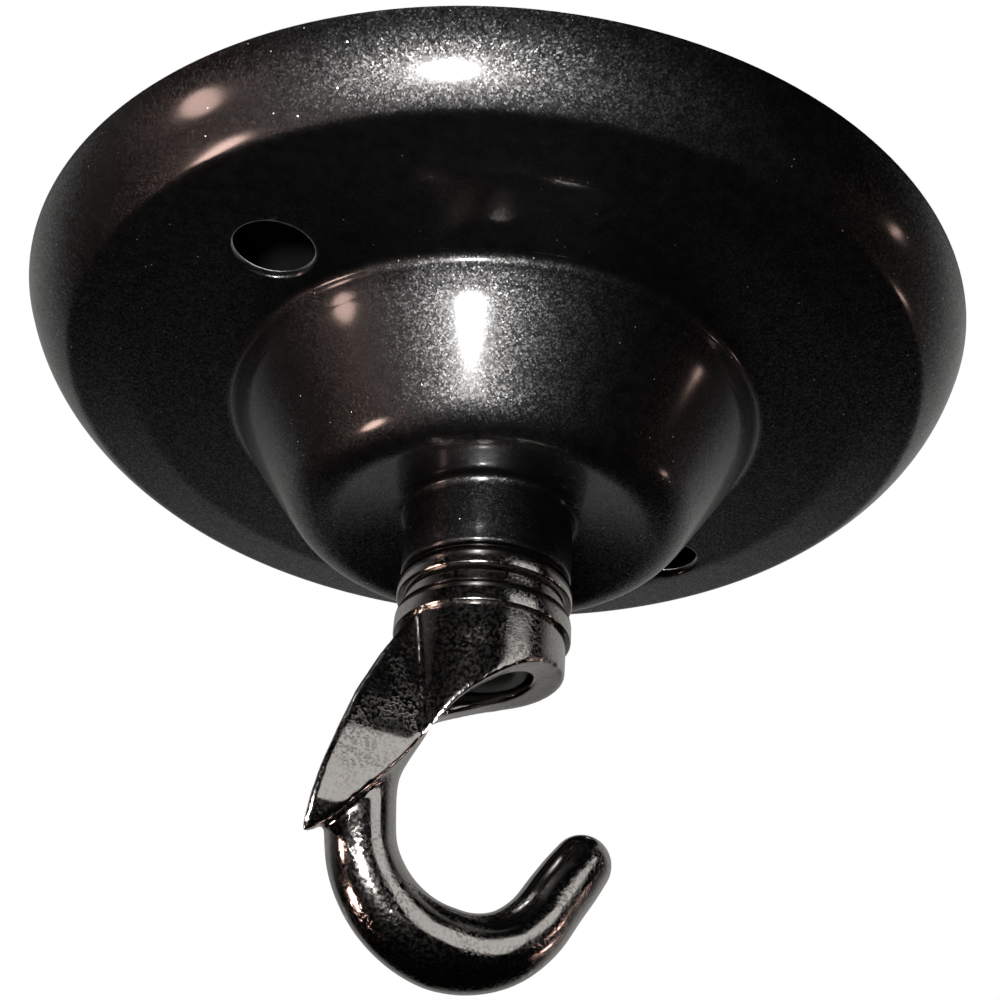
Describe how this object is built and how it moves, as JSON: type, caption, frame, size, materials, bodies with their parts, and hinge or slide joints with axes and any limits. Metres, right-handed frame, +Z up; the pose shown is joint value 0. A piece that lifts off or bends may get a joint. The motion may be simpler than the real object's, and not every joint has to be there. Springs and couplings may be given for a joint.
{
  "type": "ceiling hook plate",
  "caption": "Round domed ceiling plate of pressed steel with a cast hook screwed to a hollow threaded tube, with a cable way through the tube and an outlet beside the hook.",
  "frame": {"origin": "centre of the plane where the canopy's rim meets the ceiling; everything hangs below it", "axes": "+Z up, along the threaded tube towards the ceiling; the hook's own plane is turned 27 degrees about +Z from +X, its tip towards +X +Y"},
  "size_m": [0.1, 0.1, 0.0682],
  "materials": {
    "powder_coat": "satin black powder coat with fine metallic fleck",
    "black_nickel": "glossy black nickel plate on a zinc casting",
    "yellow_zinc_steel": "thread-cut tube, pale yellow zinc passivate",
    "zinc_steel": "bright zinc plate",
    "bush_plastic": "moulded nylon"
  },
  "bodies": {
    "plate": {"canopy": "powder_coat", "threaded_tube": "yellow_zinc_steel", "load_washer": "zinc_steel", "spring_washer": "zinc_steel", "hex_nut": "zinc_steel", "cable_bush_top": "bush_plastic", "cable_bush_bottom": "bush_plastic"},
    "collar": {"lock_ring": "black_nickel"},
    "hook": {"hook": "black_nickel"}
  },
  "joints": [
    {"name": "thread_travel", "type": "slide", "parent": "plate", "child": "collar", "axis": [0, 0, -1], "range_m": [0, 0.0045]},
    {"name": "hook_turn", "type": "hinge", "parent": "collar", "child": "hook", "pos_m": [0, 0, -0.03], "axis": [0, 0, -1], "range_deg": [0, 1620]}
  ],
  "couplings": [
    {"joint": "hook_turn", "follows": "thread_travel", "rad_per_m": 6283.2}
  ]
}
